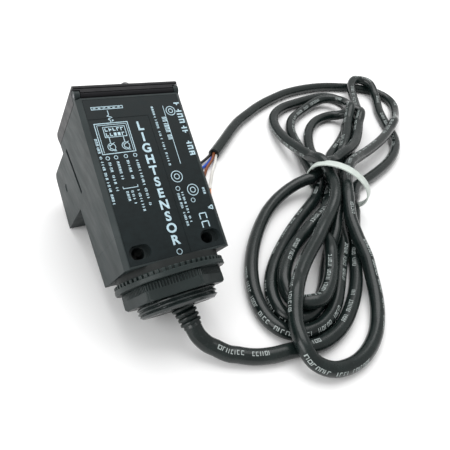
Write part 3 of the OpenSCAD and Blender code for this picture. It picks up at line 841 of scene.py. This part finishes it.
def make_slot_shade_plates(looks):
    """A black plate at the bottom of the thin slot in each side, as painted shade that darkens the slot."""
    turn = Matrix.Rotation(math.radians(-90 - SLOT["tilt"]), 4, "X")
    for name, side in (("left", -1), ("right", 1)):
        bm = bmesh.new()
        bmesh.ops.create_cube(bm, size=1)
        bmesh.ops.scale(bm, vec=(0.3, SLOT["w"], SLOT["length"]), verts=bm.verts)
        bmesh.ops.bevel(bm, geom=bm.edges[:], offset=0.08, segments=1, affect="EDGES")
        place = Matrix.Translation((side * (HALF_W - SLOT["depth"]), SLOT["y"], SLOT["z"]))
        bm.transform(LEANED @ place @ turn)
        mesh = bpy.data.meshes.new(name + "_slot_shade_plate")
        bm.to_mesh(mesh)
        bm.free()
        # painted shade: the black plate stands in for the shade deep inside the slot
        add(name + "_slot_shade_plate", mesh, "casing", "black_rubber", looks["black_rubber"])


THREAD = {"r": 15.0, "pitch": 1.5, "depth": 0.75, "high": -63.0, "low": -79.2, "bore": 6.9, "cup": 11.6}


def thread_radius(a, y):
    """The crest less a helical groove that fades out at both ends, with a chamfer at the low end."""
    t = THREAD
    up = y - t["low"]
    fade = max(0.0, min(1.0, up, (t["high"] - y) / 0.6))
    phase = (y / t["pitch"] + a / (2 * math.pi)) % 1.0
    groove = t["depth"] * (1 - min(1.0, abs(phase - 0.5) * 2.6)) * fade
    return t["r"] - max(groove, 1.3 - 1.3 * up)


def make_thread(looks):
    """The threaded base: a real helical thread, with a chamfered end and a cupped face."""
    sides, rows = 120, 110
    r, low, high, bore, cup = (THREAD[key] for key in ("r", "low", "high", "bore", "cup"))
    heights = [high - (high - low) * i / rows for i in range(rows + 1)]
    points = [around(thread_radius(a, y), y, a) for y in heights for a in turns(sides)]
    faces = walls(len(heights), sides)
    face_and_bore = [(13.7, low), (13.3, low), (12.4, low + 0.05), (cup + 0.25, low + 0.1),
                     (cup, low + 0.35), (cup, low + 1.6), (bore + 0.3, low + 1.6), (bore, low + 1.9),
                     (bore, high + 5.9), (9.2, high + 5.9), (9.4, high + 5.7), (9.4, high), (r, high)]
    more, joined = about_base(face_and_bore, sides)
    faces += [tuple(len(points) + v for v in f) for f in joined]
    mesh = leaned_mesh("thread", points + more, faces)
    smooth(mesh, 40)
    piece = add("threaded_base", mesh, "casing", "barrel_plastic", looks["barrel_plastic"])
    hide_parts("threaded_barrel")


def make_end_disc(looks):
    """The disc that closes the base, with a raised rim and two shallow steps."""
    low = THREAD["low"]
    profile = [(3.4, low + 1.5), (3.4, low + 0.35), (3.7, low + 0.1), (5.6, low + 0.1), (5.9, low + 0.35),
               (6.5, low + 0.4), (6.8, low + 0.2), (10.2, low + 0.2), (10.5, low + 0.1), (11.2, low + 0.15),
               (11.45, low + 0.4), (11.5, low + 1.5), (3.4, low + 1.5)]
    points, faces = about_base(profile)
    mesh = leaned_mesh("disc", points, faces)
    smooth(mesh, 30)
    piece = add("end_disc", mesh, "casing", "barrel_plastic", looks["barrel_plastic"])
    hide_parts("barrel_disc")


BOOT_RIBS = 3
BOOT_PITCH = 1.9


def boot_profile():
    """The boot's outline, as distances along the cable and radii: a collar, ribs and a plain end."""
    profile = [(-0.5, 3.4), (-0.4, 4.6), (0.1, 4.85), (0.8, 4.6), (1.2, 3.95)]
    for i in range(1, BOOT_RIBS + 1):
        at, r = i * BOOT_PITCH, 4.35 - 0.1 * i
        profile += [(at - 0.45, r - 0.75), (at - 0.1, r - 0.12), (at + 0.1, r), (at + 0.75, r),
                    (at + 0.95, r - 0.12), (at + 1.15, r - 0.75)]
    end = RELIEF["length"]
    return profile + [(end - 0.3, 3.5), (end, 3.35), (end, 3.1)]


def make_boot(looks):
    """The ribbed boot round the cable: a lathed shape along the cable's first stretch."""
    lean = math.radians(RELIEF["lean"])
    along = np.array((math.sin(lean), -math.cos(lean), 0))
    side, up = np.array((math.cos(lean), math.sin(lean), 0)), np.array((0, 0, 1.0))
    root = np.array((RELIEF["x"], RELIEF["y"], BARREL_Z))
    sides = 48
    profile = boot_profile()
    points = [root + along * d + r * (math.cos(a) * side + math.sin(a) * up)
              for d, r in profile for a in turns(sides)]
    last = len(points) - sides
    faces = walls(len(profile), sides) + [tuple(range(sides)), tuple(range(last, last + sides))]
    mesh = leaned_mesh("boot", points, faces)
    smooth(mesh, 32)
    slot_name = SLOTS["strain_relief"]
    piece = add("cable_boot", mesh, "casing", slot_name, looks[slot_name])
    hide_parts("strain_relief")
    return piece


# ---------------------------------------------------------------- the print on the label


class Print:
    """Flat ink shapes on the label, gathered into one mesh."""

    def __init__(self):
        self.points, self.faces = [], []

    def shape(self, corners):
        base = len(self.points)
        self.points += [(x, y, ink_height(x, y)) for x, y in corners]
        self.faces.append(tuple(range(base, base + len(corners))))

    def box(self, x0, y0, x1, y1):
        self.shape([(x0, y0), (x1, y0), (x1, y1), (x0, y1)])

    def stroke(self, start, end, width):
        a, b = Vector(start), Vector(end)
        off = (b - a).normalized().orthogonal() * width / 2
        self.shape([a + off, a - off, b - off, b + off])

    def path(self, points, width):
        for a, b in zip(points, points[1:]):
            self.stroke(a, b, width)

    def ring(self, x, y, r, width, steps):
        near = r - width
        for k in range(steps):
            a, b = (2 * math.pi * (k + e) / steps for e in (0, 1))
            self.shape([(x + reach * math.cos(turn), y + reach * math.sin(turn))
                        for turn, reach in ((a, near), (a, r), (b, r), (b, near))])

    def outline(self, x0, y0, x1, y1, width):
        self.box(x0, y0, x1, y0 + width)
        self.box(x0, y1 - width, x1, y1)
        self.box(x0, y0 + width, x0 + width, y1 - width)
        self.box(x1 - width, y0 + width, x1, y1 - width)

    def marks(self, x, y_high, y_low, height, seed, pen=0.24, pitch=0.95):
        """A column of small marks that stands for a line of small print, read from the top down."""
        rng = np.random.RandomState(seed)
        y, since = y_high, 0
        while y - pitch > y_low:
            since += 1
            if since > rng.randint(3, 8):
                y -= pitch * 0.7
                since = 0
                continue
            long = pitch * 0.72
            kind = rng.randint(4)
            if kind != 1:
                self.box(x, y - pen, x + height, y)
            if kind != 2:
                self.box(x, y - long, x + height, y - long + pen)
            if kind != 3:
                self.box(x + height * 0.36, y - long + pen, x + height * 0.36 + pen, y - pen)
            if kind in (0, 3):
                self.box(x + height - pen, y - long + pen, x + height, y - pen)
            y -= pitch


PANEL_EDGE = (4.4, -8.4)
PANEL_DROP = 0.12
INK_T = 0.02


def ink_height(x, y):
    """The label's surface under the ink: the large panel lies a little lower than the strip beside it."""
    return (INK_T - PANEL_DROP) if x < PANEL_EDGE[0] and y < PANEL_EDGE[1] else INK_T


def add_letters(ink, word, x, y_high, pitch, size, weight):
    """Upright block letters, stacked from the top down."""
    for i, letter in enumerate(word):
        curve = bpy.data.curves.new("letter", "FONT")
        curve.body = letter
        curve.size = size
        curve.offset = weight
        curve.align_x = "CENTER"
        holder = bpy.data.objects.new("letter", curve)
        scene.collection.objects.link(holder)
        bpy.context.view_layer.update()
        shape = holder.to_mesh()
        low = y_high - (i + 1) * pitch
        base = len(ink.points)
        ink.points += [(x + v.co.x, low + v.co.y, ink_height(x, low)) for v in shape.vertices]
        ink.faces += [tuple(base + k for k in f.vertices) for f in shape.polygons]
        holder.to_mesh_clear()
        bpy.data.objects.remove(holder)


def draw_diagram(ink):
    """The wiring sketch: a bar, a light beam, a box with two transistors and four terminals."""
    pen = 0.28
    ink.outline(-16.1, -4.9, -4.3, -3.7, 0.24)
    for k in range(6):
        ink.box(-15.4 + 1.8 * k, -4.45, -14.4 + 1.8 * k, -4.15)
    beam = [(-10.4, -5.4), (-10.4, -7.2), (-11.2, -7.6), (-9.4, -8.2), (-11.0, -8.7), (-10.3, -9.2),
            (-10.3, -10)]
    ink.path(beam, pen)
    ink.shape([(-9.6, -8.9), (-9.9, -9.8), (-8.9, -9.3)])
    ink.outline(-16.7, -22.0, -4.2, -10.1, 0.3)
    ink.path([(-15.8, -21.4), (-15.8, -10.9), (-5.0, -10.9), (-5.0, -21.4)], 0.2)
    ink.outline(-14.0, -15.8, -5.8, -11.6, 0.24)
    for row, seed in ((-13.4, 3), (-15.3, 4)):
        rng = np.random.RandomState(seed)
        for k in range(5):
            left = -13.4 + 1.45 * k
            ink.box(left, row, left + 0.35, row + 1.25)
            low = row + (0.9 if rng.rand() < 0.5 else 0.0)
            high = row + (1.25 if rng.rand() < 0.5 else 0.35)
            ink.box(left + 0.35, low, left + 1.0, high)
    for x in (-12.6, -7.4):
        ink.path([(x, -15.8), (x, -18.0)], pen)
        ink.ring(x, -19.4, 1.5, 0.24, 22)
        ink.path([(x - 0.6, -18.5), (x - 0.6, -20.3)], pen)
        ink.path([(x - 0.6, -19.0), (x + 1.4, -17.8)], pen)
        ink.path([(x - 0.6, -19.8), (x + 1.4, -21.0)], pen)
        ink.shape([(x + 1.5, -21.2), (x + 0.5, -21.0), (x + 1.2, -20.1)])
    for x in (-15.2, -12.2, -8.6, -5.1):
        ink.ring(x, -23.4, 0.75, 0.24, 18)


def draw_small_print(ink):
    """Columns of greeked small print, brackets and plain round marks."""
    columns = [(-18.0, -15.8, -41, 0.95, 11), (-15.5, -25.0, -36, 0.95, 12), (-12.5, -25.0, -33, 0.95, 13),
               (-8.9, -25.0, -33, 0.95, 14), (-5.5, -25.0, -43.5, 0.95, 15), (-8.2, -36.3, -45, 0.95, 16),
               (-12.3, -36.3, -41, 0.9, 17), (-10.5, -36.3, -42, 0.9, 18), (6.3, -5.2, -30, 0.9, 19),
               (7.6, -40.0, -52.5, 0.9, 20), (5.9, -40.2, -53, 0.9, 21), (16.4, -39.6, -44.0, 1.0, 22)]
    for x, high, low, height, seed in columns:
        ink.marks(x, high, low, height, seed)
    ink.marks(16.1, -4.2, -29.3, 2.3, 23, 0.55, 2.35)
    ink.marks(9.4, -9.8, -19.5, 1.7, 24, 0.3, 1.1)
    ink.box(-13.0, -35.3, -7.4, -35.05)
    for x in (-13.0, -7.65):
        ink.box(x, -35.05, x + 0.25, -34.4)
    ink.stroke((11.3, -5.2), (11.1, -29.1), 0.24)
    for x, y, r in ((13.9, -7.5, 1.95), (8.0, -33.8, 2.3), (12.6, -39.8, 2.3)):
        ink.ring(x, y, r, 0.3, 36)
        ink.ring(x, y, r * 0.5, 0.3, 24)
    for x, y, r in ((6.9, -38.4, 0.9), (11.4, -43.7, 0.9), (0.2, -61.0, 1.1)):
        ink.ring(x, y, r, 0.22, 24)
    for low in (-51.4, -54.6):
        ink.path([(12.0, low), (12.0, low + 2.2), (14.6, low + 2.2), (14.6, low)], 0.42)
    ink.path([(16.4, -47.6), (18.2, -46.8), (18.2, -48.4), (16.4, -47.6)], 0.4)


def make_print(looks):
    ink = Print()
    draw_diagram(ink)
    draw_small_print(ink)
    add_letters(ink, "LIGHTSENSOR", 0.0, -9.6, 4.42, 4.75, 0.16)
    mesh = leaned_mesh("label_print", ink.points, ink.faces, outward=False)
    face_out(mesh, OUT)
    add("label_print", mesh, "casing", "label_film", looks["print_ink"])


# ---------------------------------------------------------------- what goes with the cord


def cord_marks(length):
    """The bars of the printed marks: start and end along the cable, low and high angle round it."""
    rng = np.random.RandomState(5)
    half, first_gap, last_gap, mark_gap = 0.27, 12.0, 8, 0.62
    at, since = first_gap, 0
    while at < length - last_gap:
        since += 1
        if since > rng.randint(4, 9):
            at += rng.choice((1.8, 2.6, 16.0))
            since = 0
            continue
        long = rng.choice((0.35, 0.9, 1.1))
        middle = math.radians(90) + 1.3 * math.sin(at / 110 - 0.15)
        bars = [(0, 0.3, -half, half)]
        if long > 0.5:
            bars += [(0.3, long, half - 0.1, half), (0.3, long, -half, -half + 0.1)][:rng.randint(1, 3)]
            bars += [(long, long + 0.28, -half, half)][:rng.randint(0, 2)]
        for start, end, low, high in bars:
            yield at + start, at + end, middle + low, middle + high
        at += long + mark_gap


def make_cord_print(line, looks):
    """Small marks along the jacket that stand for the printed line on a cable."""
    line = curve_through(line, 0.75)
    _, side, up = frames_along(line)
    length, spans = line_length(line), len(line) - 1
    r = CABLE_R + INK_T
    points, faces = [], []
    for start, end, low, high in cord_marks(length):
        base = len(points)
        for at in (start, end):
            i = min(int(at / length * spans), spans - 1)
            share = at / length * spans - i
            centre = line[i] * (1 - share) + line[i + 1] * share
            for a in (low, (low + high) / 2, high):
                points.append(centre + r * (math.cos(a) * side[i] + math.sin(a) * up[i]))
        faces += [(base, base + 1, base + 4, base + 3), (base + 1, base + 2, base + 5, base + 4)]
    mesh = mesh_of("cable_print", points, faces)
    return add("cable_print", mesh, "casing", "cable_jacket", looks["cable_ink"])


def make_tie(looks):
    """A nylon band with rounded edges and a shallow channel, round the bundle."""
    turn = math.radians(TIE_TURN)
    way = np.array((math.cos(turn), math.sin(turn), 0))
    across = np.array((-math.sin(turn), math.cos(turn), 0))
    centre = np.array((*TIE_PLACE, TIE_HALF_H))
    steps = 96
    half = TIE_W / 2
    section = [(0, -half), (0.25, -half), (TIE_T - 0.2, -half + 0.05), (TIE_T, -half + 0.45),
               (TIE_T - 0.12, -0.5), (TIE_T - 0.12, 0.5), (TIE_T, half - 0.45), (TIE_T - 0.2, half - 0.05),
               (0.25, half), (0, half)]
    points = []
    for a in turns(steps):
        for out, along in section:
            w, h = TIE_HALF_W - TIE_T + out, TIE_HALF_H - TIE_T + out
            points.append(centre + across * w * math.cos(a) + np.array((0, 0, h * math.sin(a))) + way * along)
    mesh = mesh_of("cable_tie_band", points, walls(steps, len(section), closed=True))
    tidy(mesh)
    smooth(mesh, 50)
    piece = add("tie_band", mesh, "casing", "tie_nylon", looks["tie_nylon"])
    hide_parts("cable_tie")
    return piece


CORES = {
    "brown": [(72, 59, 3.9), (68, 54, 3), (63, 50, 1.6), (58, 44, 1), (52, 39, 1), (45, 35, 1)],
    "blue": [(72, 59, 2), (68, 56, 1.4), (64, 53, 1), (58, 50, 1), (52, 48, 1), (46, 46, 1)],
    "white": [(73, 58, 3), (69, 52, 1.8), (65, 47, 1), (61, 41, 1), (57, 35, 1), (54, 29, 1)],
    "black": [(71, 60, 3), (66, 57, 2.2), (61, 55, 1.2), (55, 54, 1), (48, 54, 1), (42, 53, 1)],
}
BARE = 5.0  # bare wire at the end of each core


def make_core(colour, looks):
    """One insulated core with its twisted copper strands showing at the end."""
    step = 0.8
    line = curve_through(CORES[colour], step)
    cut = len(line) - round(BARE / step)
    radii = np.full(cut, CORE_R)
    radii[-1] = CORE_R - 0.12
    points, faces = tube(line[:cut], radii, 16)
    mesh = mesh_of(colour + "_sleeve", points, faces)
    tidy(mesh)
    smooth(mesh, 50)
    slot_name = "core_" + colour
    sleeve = add(colour + "_insulation", mesh, "casing", slot_name, looks[slot_name])
    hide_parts(colour + "_core")
    return [sleeve, make_strands(colour, line[cut - 2:], looks)]


def make_strands(colour, line, looks):
    """Seven thin copper strands twisted together: one in the middle and six round it."""
    step, r, twist = 0.3, 0.17, 0.55
    line = curve_through(line, step)
    _, side, up = frames_along(line)
    points, faces = [], []
    for k in range(7):
        reach = 0 if k == 6 else 2 * r
        a = k * math.pi / 3 + twist * np.arange(len(line)) * step
        strand = line + reach * (np.cos(a)[:, None] * side + np.sin(a)[:, None] * up)
        more, joined = tube(strand, np.full(len(strand), r), 8)
        faces += [tuple(len(points) + v for v in f) for f in joined]
        points += list(more)
    mesh = mesh_of(colour + "_copper", points, faces)
    tidy(mesh)
    smooth(mesh, 60)
    return add(colour + "_strands", mesh, "casing", "pin_steel", looks["copper"])


# ---------------------------------------------------------------- build

make_camera()
make_floor()
make_light()
looks = make_looks()
dress_frame(looks)

line = cord_line()
cable = make_cord(line, looks)
on_cord = [make_boot(looks), make_tie(looks), make_cord_print(line, looks)]
for core in CORES:
    on_cord += make_core(core, looks)

make_case(looks)
make_nut(looks)
make_ring(looks)
make_slot_shade_plates(looks)
make_thread(looks)
make_end_disc(looks)
make_print(looks)
